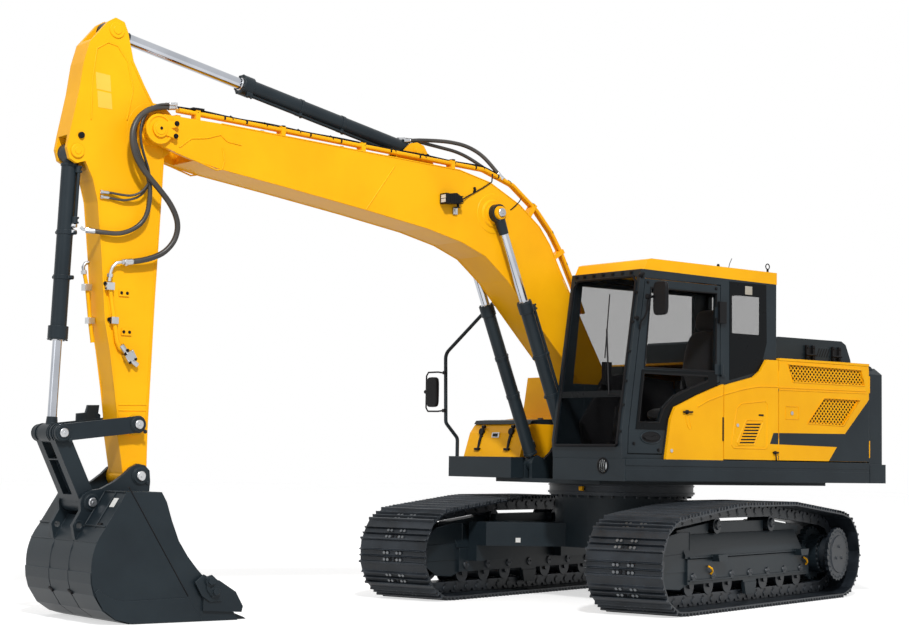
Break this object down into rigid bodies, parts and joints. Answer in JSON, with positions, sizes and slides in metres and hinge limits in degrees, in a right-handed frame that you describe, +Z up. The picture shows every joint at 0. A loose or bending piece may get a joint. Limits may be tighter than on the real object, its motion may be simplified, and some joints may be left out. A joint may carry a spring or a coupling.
{
  "type": "crawler excavator",
  "caption": "Crawler excavator with a hollow cab, box boom and arm, bucket linkage, cylinders and fixed track loops under a swinging upper body.",
  "frame": {"origin": "middle of the whole machine's bounding box, on the ground", "axes": "+X forward along the boom, +Y to the operator's left (cab side), +Z up"},
  "size_m": [8.2948, 4.0212, 4.499],
  "materials": {
    "yellow_paint": "gloss",
    "dark_paint": "satin",
    "track_steel": "dull",
    "machined_steel": "machined",
    "engine_iron": "dull",
    "window_glass": "tinted",
    "seat_fabric": "woven",
    "cab_plastic": "matt",
    "black_plastic": "matt",
    "chrome_rod": "polished"
  },
  "bodies": {
    "undercarriage": {"track_left": "track_steel", "track_right": "track_steel", "track_frame_left": "dark_paint", "track_frame_right": "dark_paint", "rollers_left": "track_steel", "rollers_right": "track_steel", "idler_left": "track_steel", "idler_right": "track_steel", "final_drive_left": "dark_paint", "final_drive_right": "dark_paint", "car_body": "dark_paint", "swing_bearing": "track_steel"},
    "upper": {"main_frame": "dark_paint", "deck_left": "dark_paint", "deck_right": "dark_paint", "counterweight": "dark_paint", "engine": "engine_iron", "cab_frame": "dark_paint", "cab_roof": "yellow_paint", "cab_glass": "window_glass", "seat": "seat_fabric", "consoles": "cab_plastic", "nose_panel": "yellow_paint", "rear_wall": "dark_paint", "top_cover": "yellow_paint", "tank": "yellow_paint", "toolbox": "yellow_paint", "right_wall": "dark_paint", "handrail": "dark_paint", "mirrors": "black_plastic"},
    "door": {"cab_door": "dark_paint", "door_glass": "window_glass"},
    "front_cover": {"front_cover": "yellow_paint"},
    "rear_cover": {"rear_cover": "yellow_paint", "grilles": "yellow_paint"},
    "right_cover": {"right_cover": "yellow_paint"},
    "hood": {"hood": "dark_paint"},
    "toolbox_lid": {"toolbox_lid": "dark_paint"},
    "boom": {"boom": "yellow_paint", "boom_pipes": "yellow_paint", "work_lamp": "black_plastic"},
    "arm": {"arm": "yellow_paint"},
    "bucket": {"bucket": "dark_paint"},
    "guide_links": {"guide_links": "dark_paint"},
    "push_link": {"push_link": "dark_paint"},
    "boom_barrels": {"boom_barrels": "dark_paint"},
    "boom_rods": {"boom_rods": "chrome_rod"},
    "arm_barrel": {"arm_barrel": "dark_paint"},
    "arm_rod": {"arm_rod": "chrome_rod"},
    "bucket_barrel": {"bucket_barrel": "dark_paint"},
    "bucket_rod": {"bucket_rod": "chrome_rod"}
  },
  "joints": [
    {"name": "swing", "type": "hinge", "parent": "undercarriage", "child": "upper", "pos_m": [-1.6175, 0, 1.03], "axis": [0, 0, 1], "continuous": true},
    {"name": "boom_foot", "type": "hinge", "parent": "upper", "child": "boom", "pos_m": [-1.2575, 0, 1.735], "axis": [0, -1, 0], "range_deg": [-58, 36]},
    {"name": "arm_pin", "type": "hinge", "parent": "boom", "child": "arm", "pos_m": [3.3725, 0, 3.675], "axis": [0, 1, 0], "range_deg": [-78, 19]},
    {"name": "bucket_pin", "type": "hinge", "parent": "arm", "child": "bucket", "pos_m": [3.4365, 0, 1.061], "axis": [0, 1, 0], "range_deg": [-75, 90]},
    {"name": "cab_door", "type": "hinge", "parent": "upper", "child": "door", "pos_m": [-1.6535, 1.223, 1.3], "axis": [0, 0, -1], "range_deg": [-165, 0]},
    {"name": "front_cover", "type": "hinge", "parent": "upper", "child": "front_cover", "pos_m": [-2.3625, 1.237, 1.3], "axis": [0, 0, 1], "range_deg": [0, 100]},
    {"name": "rear_cover", "type": "hinge", "parent": "upper", "child": "rear_cover", "pos_m": [-3.595, 1.237, 1.3], "axis": [0, 0, 1], "range_deg": [0, 100]},
    {"name": "right_cover", "type": "hinge", "parent": "upper", "child": "right_cover", "pos_m": [-3.595, -1.237, 1.3], "axis": [0, 0, -1], "range_deg": [0, 100]},
    {"name": "hood", "type": "hinge", "parent": "upper", "child": "hood", "pos_m": [-3.1175, 0.88, 2.186], "axis": [-1, 0, 0], "range_deg": [0, 75]},
    {"name": "toolbox_lid", "type": "hinge", "parent": "upper", "child": "toolbox_lid", "pos_m": [-1.1705, 0, 1.612], "axis": [0, -1, 0], "range_deg": [0, 80]},
    {"name": "boom_barrels", "type": "hinge", "parent": "upper", "child": "boom_barrels", "pos_m": [-0.7825, 0, 1.2], "axis": [0, -1, 0], "range_deg": [-53.1, 32.98]},
    {"name": "boom_rods", "type": "slide", "parent": "boom_barrels", "child": "boom_rods", "axis": [0.3811, 0, 0.9245], "range_m": [-0.654, 0.4061]},
    {"name": "arm_barrel", "type": "hinge", "parent": "boom", "child": "arm_barrel", "pos_m": [0.8385, 0, 3.809], "axis": [0, 1, 0], "range_deg": [-2.87, 0.74]},
    {"name": "arm_rod", "type": "slide", "parent": "arm_barrel", "child": "arm_rod", "axis": [0.9789, 0, 0.2043], "range_m": [-0.9766, 0.2383]},
    {"name": "bucket_barrel", "type": "hinge", "parent": "arm", "child": "bucket_barrel", "pos_m": [3.9925, 0, 3.452], "axis": [0, 1, 0], "range_deg": [-1.77, 2.12]},
    {"name": "bucket_rod", "type": "slide", "parent": "bucket_barrel", "child": "bucket_rod", "axis": [0.0393, 0, -0.9992], "range_m": [-0.5024, 0.6027]},
    {"name": "guide_links", "type": "hinge", "parent": "arm", "child": "guide_links", "pos_m": [3.4655, 0, 1.443], "axis": [0, 1, 0], "range_deg": [-52.98, 63.57]},
    {"name": "push_link", "type": "hinge", "parent": "bucket", "child": "push_link", "pos_m": [3.8295, 0, 0.866], "axis": [0, 1, 0], "range_deg": [-59.86, 49.89]}
  ],
  "couplings": [
    {"joint": "boom_barrels", "follows": "boom_foot", "ratio": 0.9147},
    {"joint": "boom_rods", "follows": "boom_foot", "m_per_rad": 0.6456},
    {"joint": "arm_barrel", "follows": "arm_pin", "ratio": 0.0362},
    {"joint": "arm_rod", "follows": "arm_pin", "m_per_rad": 0.717},
    {"joint": "bucket_barrel", "follows": "bucket_pin", "ratio": 0.023},
    {"joint": "bucket_rod", "follows": "bucket_pin", "m_per_rad": 0.3834},
    {"joint": "guide_links", "follows": "bucket_pin", "ratio": 0.7058},
    {"joint": "push_link", "follows": "bucket_pin", "ratio": -0.6646}
  ]
}
